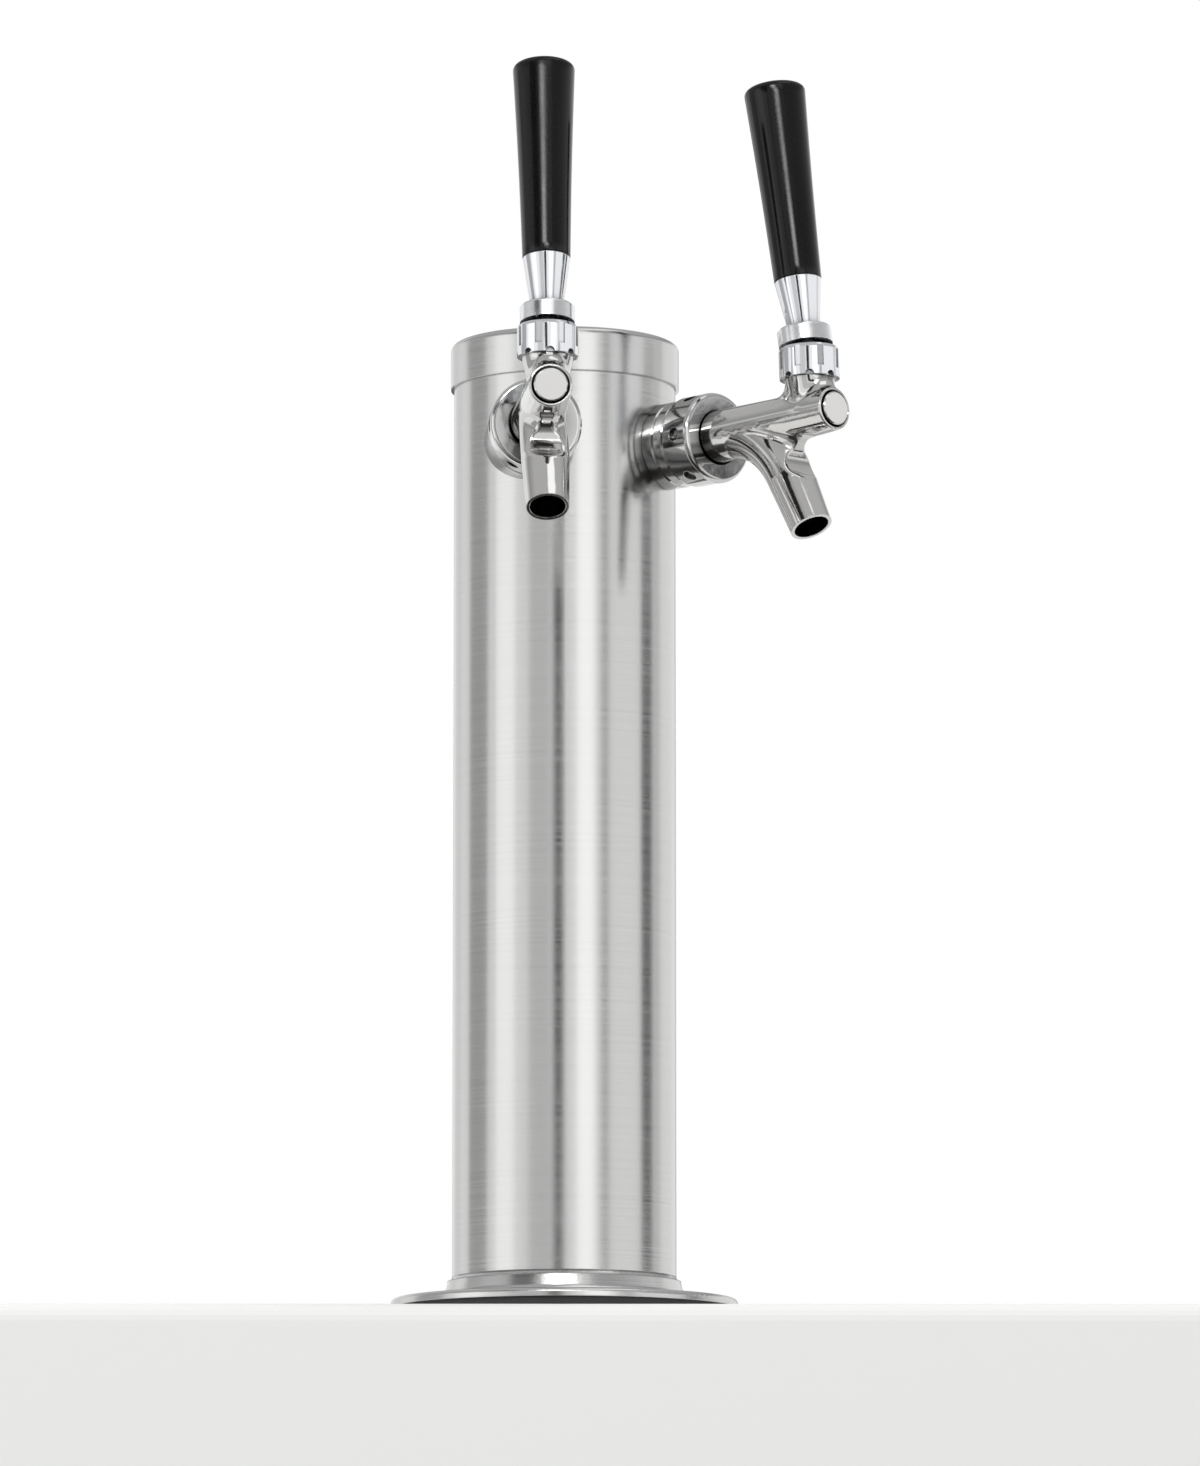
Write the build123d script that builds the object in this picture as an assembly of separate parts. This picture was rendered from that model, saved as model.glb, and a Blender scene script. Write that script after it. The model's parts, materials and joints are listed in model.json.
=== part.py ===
from build123d import *
import os
from math import cos, degrees, hypot, radians, sin, tan

# Two-tap draft beer tower: a brushed stainless column with a lift-off cap and a bolted base,
# and two chrome rear-sealing taps with black handles.  Millimetres, +Z up, taps towards -Y,
# origin on the counter at the column's axis.
#
# Most of a tap is described in the tap's own frame: w runs out along the shank from the
# column's outside, height is counted from the shank's axis.  b is a distance along the barrel
# from the back of the tap, h a height along the bonnet and s a height along the lever, both
# counted from the lever's pivot.

# ---------------------------------------------------------------- driving sizes
# Column, cap and base
column_diameter = 76.2
column_wall = 1.2
tower_height = 335.0            # counter to the top of the cap
cap_wall = 1.1
cap_height = 15.4
cap_edge_radius = 2.4
cap_clearance = 0.08            # radial, cap skirt to column
seat_gap = 0.05                 # between parts that rest on each other
plug_height = 11.0              # rubber ring that centres the cap inside the column
plug_wall = 4.0
loose_gap = 0.35                # radial, loose parts inside the column
base_diameter = 118.0
base_thickness = 3.0
base_hub_diameter = 82.0
base_hub_height = 9.0
base_hub_lip = 1.4
base_rim_radius = 1.6
base_hub_radius = 3.0
solder_gap = 0.05
gasket_thickness = 3.0
gasket_inset = 1.2
bolt_circle = 101.0
bolt_hole_diameter = 6.6
bolt_count = 4
foam_wall = 8.0
foam_bottom = 18.0
foam_top = 262.0

# Where the taps stand on the column
shank_height = 297.0            # counter to the shank's axis
wall_angle = 42.0               # place of the shank hole round the column, from the front
splay_angle = 19.0              # direction of the shank, from the front

# Shank and what clamps it
shank_diameter = 22.2
shank_bore = 8.0
shank_rear = -28.0
shank_hole_gap = 0.2
saddle_diameter = 29.5
saddle_front = 8.0
shoulder_length = 5.0
head_diameter = 27.6
head_length = 7.0
edge_break = 0.7                # small chamfers on turned parts
inner_saddle_diameter = 26.0
inner_saddle_rear = -13.5
lock_nut_flats = 27.0
lock_nut_length = 7.0
thread_gap = 0.05               # radial, between screwed or soldered parts

# Line stub: the bent tube that a beer hose is pushed onto
stub_diameter = 7.9
stub_wall = 1.0
stub_overlap = 10.0             # length soldered into the shank
stub_bend_radius = 14.0
stub_lead = 4.0                 # straight length between shank and bend
stub_drop = 24.0                # straight length below the bend
stub_bead_diameter = 9.6        # rolled bead that stops the hose
stub_bead_length = 1.6

# Coupling nut and washer
coupling_diameter = 31.0
coupling_length = 12.4
coupling_gap = 0.4              # along w, shoulder to nut
coupling_front_radius = 1.6
spanner_hole_diameter = 4.6
spanner_hole_depth = 1.2
spanner_hole_count = 6
spanner_hole_turn = 30
washer_thickness = 1.4
washer_diameter = 24.0
washer_bore = 10.0

# Tap body
collar_diameter = 26.6
collar_length = 2.4
barrel_rise = 2.4               # degrees that the barrel climbs towards its front
barrel_length = 60.4            # b of the barrel's front face
barrel_rear_diameter = 18.2
barrel_front_diameter = 14.6
barrel_lip_radius = 0.6
neck_blend_radius = 6.0         # cast blend from the barrel to the neck
spout_blend_radius = 4.0        # cast blend from the barrel to the spout
neck_root_diameter = 12.0
neck_top_diameter = 17.2
neck_depth = 14.0
neck_thread_diameter = 16.0
rear_bore = 13.0
rear_bore_length = 13.0
seat_bore = 9.6
seat_length = 2.5
mid_bore = 10.4
guide_length = 26.5             # long enough for the shaft to slide back in it
guide_bore = 11.4
mouth_chamfer = 0.8

# Spout
spout_mouth_w = 70.4
spout_mouth_height = -36.4
spout_slope = 62.0              # degrees below the horizontal
spout_diameter = 14.4
spout_root_diameter = 16.2
spout_bend_radius = 36.0        # the spout leaves the barrel in this bend
spout_bore = 12.0
spout_bore_length = 12.0
throat_bore = 6.6               # narrow passage between the barrel and the spout's wide bore
throat_start = 18.0             # b where the passage leaves the barrel
arch_radius = 7.0               # hollow cut across the fork of barrel and spout
arch_w = 70.8
arch_height = -11.9
arch_edge_radius = 2.0

# Lever and bonnet
pivot_w = 69.8
pivot_height = 15.4
lever_lean = 9.3                # degrees that the closed lever leans towards the column
lever_swing = 30.0              # degrees from closed to fully open
ball_diameter = 12.4
ball_gap = 0.08
lever_tip_length = 13.3         # pivot to the centre of the lever's lower tip
lever_tip_diameter = 4.8
lever_arm_diameter = 3.4
tip_gap = 0.3
pocket_gap = 0.6
lever_neck_diameter = 5.6
lever_stem_diameter = 7.0
lever_neck_top = 5.0            # s where the stem starts to widen
lever_stem_top = 12.0           # s where the stem reaches its full size
stud_diameter = 7.9
stud_bottom = 13.2
stud_top = 26.0
bonnet_diameter = 20.4
bonnet_bottom = -1.45
bonnet_edge = 8.2               # h of the outer edge, where the dome starts
bonnet_crown_diameter = 18.4
bonnet_top = 9.4
bonnet_throat = 11.3
bonnet_ceiling = 4.3
bonnet_notch_count = 8
bonnet_notch_diameter = 3.0     # half-round spanner notches in the lower edge
bonnet_notch_depth = 1.3
bonnet_flute_width = 2.2        # shallow flutes above and between the notches
bonnet_flute_depth = 0.45
bonnet_flute_bottom = 1.6
swing_radius = 13.9             # hollow under the lock ring that passes over the bonnet
lock_ring_diameter = 18.3
lock_ring_top = 16.5

# Handle
ferrule_bottom = 16.7
ferrule_top = 33.4
ferrule_bottom_diameter = 11.0
ferrule_top_diameter = 15.8
grip_top = 103.0
grip_bottom_diameter = 16.1
grip_top_diameter = 20.8
grip_edge_radius = 2.2
hanger_diameter = 6.2
hanger_length = 26.0
hanger_gap = 0.6                # end gaps of the hanger bolt

# Shaft inside the barrel
shaft_guide_gap = 0.05          # radial running clearance in the guide
shaft_proud = 0.8               # how far the shaft's face stands out of the barrel
shaft_guide_length = 19.5
shaft_stem_diameter = 5.0
seal_diameter = 11.8
seal_thickness = 2.6
seal_gap = 0.15
seal_head_diameter = 8.0
seal_head_length = 1.6

# ---------------------------------------------------------------- derived places
column_radius = column_diameter / 2
column_bore_radius = column_radius - column_wall
cap_underside = tower_height - cap_wall
column_top = cap_underside - seat_gap
shoulder_front = saddle_front + shoulder_length
head_front = shoulder_front + head_length
collar_rear = head_front + washer_thickness
collar_front = collar_rear + collar_length
coupling_rear = shoulder_front + coupling_gap
coupling_front = coupling_rear + coupling_length
threaded_bore = shank_diameter + 2 * thread_gap
guide_start = barrel_length - guide_length
seat_end = rear_bore_length + seat_length
hanger_start = stud_top + hanger_gap
ball_seat = ball_diameter / 2 + ball_gap
open_lean = lever_swing - lever_lean
pivot = Pos(pivot_w, 0, pivot_height)
MIN = (Align.CENTER, Align.CENTER, Align.MIN)


def inclined(w, height, rise):
    """A plane whose Z runs outward and climbs by this many degrees (90 = straight up)."""
    angle = radians(rise)
    return Plane(origin=(w, 0, height), x_dir=(0, 1, 0), z_dir=(cos(angle), 0, sin(angle)))


SHANK = inclined(0, 0, 0)
BARREL = inclined(collar_rear, 0, barrel_rise)
SPOUT = inclined(spout_mouth_w, spout_mouth_height, 180 - spout_slope)
BONNET = inclined(pivot_w, pivot_height, 90 + barrel_rise)
LEVER = inclined(pivot_w, pivot_height, 90 + lever_lean)


def tap_place(side):
    """Where a tap's frame stands on the tower; side is -1 for the left and 1 for the right tap."""
    wall, splay = radians(wall_angle), radians(splay_angle)
    plane = Plane(
        origin=(side * column_radius * sin(wall), -column_radius * cos(wall), shank_height),
        x_dir=(side * sin(splay), -cos(splay), 0),
        z_dir=(0, 0, 1),
    )
    return plane.location


def rod(plane, start, end, diameter):
    return plane.offset(start) * Cylinder(diameter / 2, end - start, align=MIN)


def taper(plane, start, end, start_diameter, end_diameter):
    return plane.offset(start) * Cone(start_diameter / 2, end_diameter / 2, end - start, align=MIN)


def tube(plane, start, end, outer, inner):
    return rod(plane, start, end, outer) - rod(plane, start, end, inner)


def turned(plane, outline):
    """A solid turned about a plane's Z axis from (radius, height) points."""
    face = Plane.XZ * make_face(Polyline(*outline, close=True))
    return plane.location * revolve(face, Axis.Z)


def side_cut(centre, outline, width):
    """A flat-sided cutter in the tap's side view, from (w, height) points about a centre."""
    face = make_face(Polyline(*outline, close=True))
    return Pos(centre.X, 0, centre.Z) * extrude(Plane.XZ * face, width / 2, both=True)


# ---------------------------------------------------------------- column, cap and base
def column_tube():
    shell = tube(Plane.XY, gasket_thickness, column_top, column_diameter, 2 * column_bore_radius)
    for side in (-1, 1):
        hole = rod(SHANK, shank_rear, saddle_front, shank_diameter + 2 * shank_hole_gap)
        shell -= tap_place(side) * hole
    return shell


def top_cap():
    inner = column_radius + cap_clearance
    skirt = tower_height - cap_height
    shell = rod(Plane.XY, skirt, tower_height, 2 * (inner + cap_wall))
    shell = fillet(shell.edges().group_by(Axis.Z)[-1], cap_edge_radius)
    return shell - rod(Plane.XY, skirt, cap_underside, 2 * inner)


def cap_plug_ring():
    outer = 2 * (column_bore_radius - loose_gap)
    bottom = cap_underside - plug_height
    ring = tube(Plane.XY, bottom, cap_underside, outer, outer - 2 * plug_wall)
    return chamfer(ring.edges().group_by(Axis.Z)[0], edge_break)


def bolt_holes(top):
    """The drillings that the base plate and its gasket share."""
    start = 180 / bolt_count
    places = PolarLocations(bolt_circle / 2, bolt_count, start_angle=start)
    return [place * Cylinder(bolt_hole_diameter / 2, top, align=MIN) for place in places]


def base_flange():
    low = gasket_thickness
    rim, hub = base_diameter / 2, base_hub_diameter / 2
    bore = column_radius + solder_gap
    hub_top = low + base_hub_height
    outline = [
        (bore, low),
        (rim, low),
        (rim, low + base_thickness),
        (hub, low + base_thickness),
        (bore + base_hub_lip, hub_top),
        (bore, hub_top),
    ]
    plate = turned(Plane.XY, outline)
    rings = plate.edges().filter_by(GeomType.CIRCLE)
    top_rings = rings.filter_by(lambda e: e.center().Z > low + base_thickness / 2)
    plate = fillet(top_rings.sort_by(SortBy.RADIUS)[-1], base_rim_radius)
    rings = plate.edges().filter_by(GeomType.CIRCLE)
    plate = fillet(rings.filter_by(lambda e: abs(e.radius - hub) < 0.01), base_hub_radius)
    for hole in bolt_holes(hub_top):
        plate -= hole
    return plate


def base_gasket():
    ring = tube(Plane.XY, 0, gasket_thickness, base_diameter - 2 * gasket_inset, 2 * column_bore_radius)
    for hole in bolt_holes(gasket_thickness):
        ring -= hole
    return ring


def insulation_sleeve():
    outer = 2 * (column_bore_radius - loose_gap)
    return tube(Plane.XY, foam_bottom, foam_top, outer, outer - 2 * foam_wall)


# ---------------------------------------------------------------- shank group
def shank_saddle(side):
    """Outer spacer whose back is cut to the column, so the slanted shank has a square seat."""
    blank = tube(SHANK, -column_radius, saddle_front, saddle_diameter, threaded_bore)
    blank = chamfer(blank.edges().group_by(Axis.X)[-1], edge_break)
    inside = Pos(0, 0, shank_height) * Cylinder(column_radius + solder_gap, 3 * saddle_diameter)
    pieces = (tap_place(side) * blank - inside).solids()
    return pieces.sort_by(Axis.Y)[0]


def inner_saddle(side):
    """Inner spacer whose face is cut to the column's bore, under the lock nut."""
    blank = tube(SHANK, inner_saddle_rear, saddle_front, inner_saddle_diameter, threaded_bore)
    inside = Pos(0, 0, shank_height) * Cylinder(column_bore_radius - solder_gap, 3 * saddle_diameter)
    return (tap_place(side) * blank) & inside


def shank():
    """Threaded tube with a shoulder and a head that takes the coupling nut."""
    body = rod(SHANK, shank_rear, saddle_front, shank_diameter)
    body = chamfer(body.edges().group_by(Axis.X)[0], edge_break)
    shoulder = rod(SHANK, saddle_front + seat_gap, shoulder_front, saddle_diameter)
    shoulder = chamfer(shoulder.edges().filter_by(GeomType.CIRCLE), edge_break)
    body += shoulder + rod(SHANK, saddle_front, head_front, head_diameter - 2 * coupling_gap)
    body += rod(SHANK, shoulder_front, head_front, head_diameter)
    body -= rod(SHANK, shank_rear, shank_rear + stub_overlap, stub_diameter + 2 * thread_gap)
    return body - rod(SHANK, shank_rear, head_front, shank_bore - 2 * stub_wall)


def shank_lock_nut():
    rear = inner_saddle_rear - seat_gap - lock_nut_length
    hexagon = Rot(0, 0, 30) * RegularPolygon(lock_nut_flats / 2, 6, major_radius=False)
    nut = SHANK.offset(rear).location * extrude(hexagon, lock_nut_length)
    corner = lock_nut_flats * 1.03
    nut = nut & taper(SHANK, rear, rear + lock_nut_length, corner, corner + 4 * lock_nut_length)
    return nut - rod(SHANK, rear, rear + lock_nut_length, threaded_bore)


def line_stub():
    """Bent tube from the shank's bore down to the beer hose, with a bead that stops the hose."""
    corner = shank_rear - stub_lead - stub_bend_radius
    bottom = -stub_bend_radius - stub_drop
    path = FilletPolyline(
        (shank_rear + stub_overlap - seat_gap, 0, 0),
        (corner, 0, 0),
        (corner, 0, bottom),
        radius=stub_bend_radius,
    )
    start = Plane(origin=path @ 0, z_dir=path % 0)
    pipe = sweep(start * Circle(stub_diameter / 2), path)
    bead = rod(Plane((corner, 0, -stub_bend_radius)), -stub_bead_length, 0, stub_bead_diameter)
    pipe += fillet(bead.edges().filter_by(GeomType.CIRCLE), stub_bead_length / 3)
    return pipe - sweep(start * Circle(stub_diameter / 2 - stub_wall), path)


def coupling_nut():
    nut = rod(SHANK, coupling_rear, coupling_front, coupling_diameter)
    nut = fillet(nut.edges().group_by(Axis.X)[-1], coupling_front_radius)
    nut = chamfer(nut.edges().group_by(Axis.X)[0], edge_break)
    nut -= rod(SHANK, coupling_rear, collar_front + thread_gap, head_diameter + 2 * thread_gap)
    nut -= rod(SHANK, collar_front, coupling_front, barrel_rear_diameter + 2 * coupling_gap)
    drill = Pos((coupling_rear + coupling_front) / 2, 0, coupling_diameter / 2 - spanner_hole_depth)
    for turn in range(spanner_hole_count):
        around = Rot(360 / spanner_hole_count * turn + spanner_hole_turn, 0, 0)
        nut -= around * drill * Cylinder(spanner_hole_diameter / 2, coupling_length, align=MIN)
    return nut


def coupling_washer():
    return tube(SHANK, head_front + seat_gap, collar_rear - seat_gap, washer_diameter, washer_bore)


# ---------------------------------------------------------------- tap body
def blended(stock, branch, radius):
    """Join a branch to the casting with a round blend along their crossing."""
    old = [edge.center() for edge in stock.edges()] + [edge.center() for edge in branch.edges()]
    joined = stock + branch
    crossing = joined.edges().filter_by(
        lambda e: e.geom_type == GeomType.BSPLINE and min((e.center() - c).length for c in old) > 0.05
    )
    return fillet(crossing, radius)


def spout():
    """The outside of the spout: a straight taper below a bend that comes out of the barrel."""
    slope, rise = radians(spout_slope), radians(barrel_rise)
    half_turn = (slope + rise) / 2
    run = spout_bend_radius * tan(half_turn)
    climb = (spout_mouth_w - collar_rear) * tan(rise) - spout_mouth_height
    to_barrel = climb / (sin(slope) + cos(slope) * tan(rise))
    w = spout_mouth_w - to_barrel * cos(slope) - run * cos(rise)
    start = inclined(w, (w - collar_rear) * tan(rise), barrel_rise)
    centre = start.origin - start.x_dir.cross(start.z_dir) * -spout_bend_radius
    bend = revolve(start * Circle(spout_root_diameter / 2), Axis(centre, (0, 1, 0)), degrees(2 * half_turn))
    return bend + taper(SPOUT, 0, to_barrel - run, spout_diameter, spout_root_diameter)


def flow_passage():
    """The bores that the beer takes: rear bore, seat, middle, narrow throat and wide mouth."""
    cut = rod(BARREL, -1, rear_bore_length, rear_bore) + rod(BARREL, 0, seat_end, seat_bore)
    cut += rod(BARREL, seat_end, guide_start, mid_bore)
    top, bottom = BARREL.offset(throat_start).origin, SPOUT.offset(spout_bore_length).origin
    throat = Plane(origin=top, x_dir=(0, 1, 0), z_dir=bottom - top)
    cut += rod(throat, 0, (bottom - top).length, throat_bore)
    return cut + rod(SPOUT, 0, spout_bore_length, spout_bore)


def lever_pocket():
    """Room for the lever's arm between its ball and the shaft: a fan in the side view."""
    arm = lever_arm_diameter / 2 + pocket_gap
    front, rear = tan(radians(lever_lean)), tan(radians(open_lean))
    top, bottom = -ball_diameter / 3, -lever_tip_length + pocket_gap
    outline = [
        (-arm + top * rear, top),
        (arm - top * front, top),
        (lever_tip_diameter / 2 + pocket_gap - bottom * front, bottom),
        (-lever_tip_diameter / 2 - pocket_gap + bottom * rear, bottom),
    ]
    return side_cut(pivot.position, outline, lever_tip_diameter + 2 * pocket_gap)


def arched(casting):
    """Hollow the fork of barrel and spout with a rounded arch from side to side."""
    arch = Pos(arch_w, 0, arch_height) * Rot(90, 0, 0) * Cylinder(arch_radius, 3 * spout_root_diameter)
    hollowed = casting - arch

    def off_arch(point):
        return abs(hypot(point.X - arch_w, point.Z - arch_height) - arch_radius)

    rim = hollowed.edges().filter_by(lambda e: max(off_arch(e @ t) for t in (0.1, 0.5, 0.9)) < 0.02)
    return fillet(rim, arch_edge_radius)


def tap_body():
    body = taper(BARREL, collar_length / 2, barrel_length, barrel_rear_diameter, barrel_front_diameter)
    body = fillet(body.edges().group_by(Axis.X)[-1], barrel_lip_radius)
    body = arched(blended(body, spout(), spout_blend_radius))
    neck = taper(BONNET, -neck_depth, bonnet_bottom - seat_gap, neck_root_diameter, neck_top_diameter)
    body = blended(body, neck, neck_blend_radius)
    body += rod(SHANK, collar_rear, collar_front, collar_diameter)
    body += rod(BONNET, bonnet_bottom - 1, 0, neck_thread_diameter)
    body -= flow_passage()
    body -= rod(BARREL, guide_start - 1, barrel_length, guide_bore)
    mouth = guide_bore + 2 * mouth_chamfer
    body -= taper(BARREL, barrel_length - mouth_chamfer, barrel_length, guide_bore, mouth)
    return body - lever_pocket() - pivot * Sphere(ball_seat)


def bonnet():
    """Slotted cap that holds the lever's ball down; its dome lets the lock ring pass over it."""
    outer, seat = bonnet_diameter / 2, neck_thread_diameter / 2 + thread_gap
    outline = [
        (seat, bonnet_bottom),
        (outer, bonnet_bottom),
        (outer, bonnet_edge),
        (bonnet_crown_diameter / 2 + 0.2, bonnet_top),
        (bonnet_crown_diameter / 2, bonnet_top),
        (bonnet_throat / 2, bonnet_ceiling),
        (seat, bonnet_ceiling),
    ]
    shell = turned(BONNET, outline)
    tall = bonnet_edge - bonnet_flute_bottom
    flute = Box(2 * bonnet_flute_depth, bonnet_flute_width, 2 * tall)
    for turn in range(bonnet_notch_count):
        around = BONNET.location * Rot(0, 0, 360 / bonnet_notch_count * turn)
        between = BONNET.location * Rot(0, 0, 360 / bonnet_notch_count * (turn + 0.5))
        notch = Pos(outer - bonnet_notch_depth, 0, bonnet_bottom) * Rot(0, 90, 0)
        shell -= around * notch * Cylinder(bonnet_notch_diameter / 2, bonnet_diameter, align=MIN)
        shell -= between * Pos(outer, 0, bonnet_flute_bottom + tall) * flute
    return shell


def friction_ring():
    """Nylon ring between ball and bonnet, which holds the lever where it is left."""
    top = bonnet_ceiling - seat_gap
    ring = tube(BONNET, seat_gap, top, neck_thread_diameter, bonnet_throat)
    return ring - pivot * Sphere(ball_seat)


# ---------------------------------------------------------------- sliding shaft
def shaft_slot():
    """Slot that the lever's tip works in; it flares upward so that the arm can swing."""
    tip = LEVER.offset(-lever_tip_length).origin
    half = lever_tip_diameter / 2 + tip_gap
    reach = guide_bore / 2 + half
    front = half + reach * tan(radians(open_lean))
    rear = half + reach * tan(radians(lever_lean))
    outline = [(-half, -half), (half, -half), (half, 0), (front, reach), (-rear, reach), (-half, 0)]
    return side_cut(tip, outline, 2 * half)


def tap_shaft():
    """Sliding shaft: guide with the lever's slot, thin stem and the head that carries the seal."""
    face = barrel_length + shaft_proud
    guide_rear = face - shaft_guide_length
    seal_rear = rear_bore_length - seal_gap - seal_thickness
    guide = rod(BARREL, guide_rear, face, guide_bore - 2 * shaft_guide_gap)
    guide = chamfer(guide.edges().group_by(Axis.X)[-1], edge_break / 2)
    stem = rod(BARREL, seal_rear - seal_head_length, guide_rear, shaft_stem_diameter)
    head = rod(BARREL, seal_rear - seal_head_length, seal_rear, seal_head_diameter)
    return guide + stem + head - shaft_slot()


def seat_seal():
    end = rear_bore_length - seal_gap
    bore = shaft_stem_diameter + 2 * thread_gap
    return tube(BARREL, end - seal_thickness + seat_gap, end, seal_diameter, bore)


# ---------------------------------------------------------------- lever and handle
def lever():
    """Arm with a round tip, ball, widening stem and the threaded stud for the handle."""
    tip = LEVER.offset(-lever_tip_length).origin
    bar = rod(LEVER, -lever_tip_length, 0, lever_arm_diameter)
    bar += Pos(tip.X, 0, tip.Z) * Sphere(lever_tip_diameter / 2)
    bar += pivot * Sphere(ball_diameter / 2)
    bar += rod(LEVER, 0, lever_neck_top, lever_neck_diameter)
    bar += taper(LEVER, lever_neck_top, lever_stem_top, lever_neck_diameter, lever_stem_diameter)
    bar += rod(LEVER, lever_stem_top, stud_bottom, lever_stem_diameter)
    stud = rod(LEVER, stud_bottom, stud_top, stud_diameter)
    return bar + chamfer(stud.edges().group_by(Axis.Z)[-1], edge_break)


def lever_lock_ring():
    ring = rod(LEVER, lever_neck_top, lock_ring_top, lock_ring_diameter)
    ring = chamfer(ring.edges().group_by(Axis.Z)[-1], edge_break)
    ring -= pivot * Sphere(swing_radius)
    return ring - rod(LEVER, lever_neck_top, lock_ring_top, stud_diameter + 2 * thread_gap)


def handle_ferrule():
    small, large = ferrule_bottom_diameter, ferrule_top_diameter
    cone = taper(LEVER, ferrule_bottom, ferrule_top, small, large)
    cone -= rod(LEVER, ferrule_bottom, stud_top + seat_gap, stud_diameter + 2 * thread_gap)
    return cone - rod(LEVER, stud_top, ferrule_top, hanger_diameter + 2 * thread_gap)


def handle_hanger_bolt():
    bolt = rod(LEVER, hanger_start, hanger_start + hanger_length, hanger_diameter)
    return chamfer(bolt.edges().filter_by(GeomType.CIRCLE), edge_break)


def handle_grip():
    bottom = ferrule_top + seat_gap
    cone = taper(LEVER, bottom, grip_top, grip_bottom_diameter, grip_top_diameter)
    cone = fillet(cone.edges().filter_by(GeomType.CIRCLE).sort_by(Axis.Z)[-1], grip_edge_radius)
    hole_end = hanger_start + hanger_length + hanger_gap
    return cone - rod(LEVER, bottom, hole_end, hanger_diameter + 2 * thread_gap)


# ---------------------------------------------------------------- write the nodes
TOWER_PIECES = (column_tube, base_flange, base_gasket, insulation_sleeve, top_cap, cap_plug_ring)
SADDLES = (shank_saddle, inner_saddle)
TAP_PIECES = (
    shank,
    shank_lock_nut,
    line_stub,
    coupling_nut,
    coupling_washer,
    tap_body,
    bonnet,
    friction_ring,
    tap_shaft,
    seat_seal,
    lever,
    lever_lock_ring,
    handle_ferrule,
    handle_hanger_bolt,
    handle_grip,
)


def main():
    os.makedirs("parts", exist_ok=True)
    nodes = {make.__name__: make() for make in TOWER_PIECES}
    for name, side in (("left", -1), ("right", 1)):
        for make in SADDLES:
            nodes[f"{name}_{make.__name__}"] = make(side)
        for make in TAP_PIECES:
            nodes[f"{name}_{make.__name__}"] = tap_place(side) * make()
    for node, shape in nodes.items():
        export_step(shape, f"parts/{node}.step")


main()
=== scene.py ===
# %% [markdown]
# # A two-tap draft beer tower
# The tower is a stainless column that stands on a counter, with two chrome taps and black pull
# handles.  Its exact shape comes from a CAD model that is loaded first and never changed.  This
# lesson gives every piece of it a finish, adds the fine work that the CAD leaves out, and builds
# a small studio round it.

# %% Load the frame
import json
from math import cos, pi, radians, sin, tan

import bmesh
import bpy
from mathutils import Matrix, Vector


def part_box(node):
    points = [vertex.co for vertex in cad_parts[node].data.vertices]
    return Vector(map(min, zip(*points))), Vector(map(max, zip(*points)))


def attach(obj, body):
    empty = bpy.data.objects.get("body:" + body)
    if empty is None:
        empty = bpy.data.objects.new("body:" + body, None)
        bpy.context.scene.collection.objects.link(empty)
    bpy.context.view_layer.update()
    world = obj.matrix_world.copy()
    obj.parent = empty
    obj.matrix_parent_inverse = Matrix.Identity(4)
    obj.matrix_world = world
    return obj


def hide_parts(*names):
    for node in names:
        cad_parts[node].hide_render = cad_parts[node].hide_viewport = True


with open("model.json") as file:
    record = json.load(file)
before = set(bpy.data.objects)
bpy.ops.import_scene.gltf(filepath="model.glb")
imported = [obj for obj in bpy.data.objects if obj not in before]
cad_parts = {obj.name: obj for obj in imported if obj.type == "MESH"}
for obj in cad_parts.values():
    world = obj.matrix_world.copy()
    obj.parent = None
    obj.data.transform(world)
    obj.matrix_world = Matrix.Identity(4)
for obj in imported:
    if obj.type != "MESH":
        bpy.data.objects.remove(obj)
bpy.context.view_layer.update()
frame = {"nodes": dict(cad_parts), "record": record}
nodes = frame["nodes"]

# %% [markdown]
# ## The room
# Metal looks like what surrounds it, so the room matters as much as the metal.  A plain white
# world could light everything at full strength, but pale pieces would then clip.  So the world is
# white only for what the eye, a reflection or a view through glass sees, and it lights the object
# a little less strongly.

# %% The world
scene = bpy.context.scene
scene.view_settings.view_transform = "Standard"
room = bpy.data.worlds.new("white_room")
room.use_nodes = True
scene.world = room
room_tree = room.node_tree
room_tree.nodes.clear()
seen_white = room_tree.nodes.new("ShaderNodeBackground")
soft_fill = room_tree.nodes.new("ShaderNodeBackground")
soft_fill.inputs["Strength"].default_value = 0.62
for backdrop in (seen_white, soft_fill):
    backdrop.inputs["Color"].default_value = (1, 1, 1, 1)
ray = room_tree.nodes.new("ShaderNodeLightPath")
seen = ray.outputs["Is Camera Ray"]
for kind in ("Is Glossy Ray", "Is Transmission Ray"):
    either = room_tree.nodes.new("ShaderNodeMath")
    either.operation = "MAXIMUM"
    room_tree.links.new(seen, either.inputs[0])
    room_tree.links.new(ray.outputs[kind], either.inputs[1])
    seen = either.outputs[0]
choice = room_tree.nodes.new("ShaderNodeMixShader")
room_end = room_tree.nodes.new("ShaderNodeOutputWorld")
room_tree.links.new(seen, choice.inputs[0])
room_tree.links.new(soft_fill.outputs[0], choice.inputs[1])
room_tree.links.new(seen_white.outputs[0], choice.inputs[2])
room_tree.links.new(choice.outputs[0], room_end.inputs[0])
print("world nodes", len(room_tree.nodes))

# %% [markdown]
# ## The camera
# The viewer stands to the left of the tower's front, nearly three metres away, with the eye a
# little below the counter.  A long lens keeps the column's sides nearly parallel.

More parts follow.
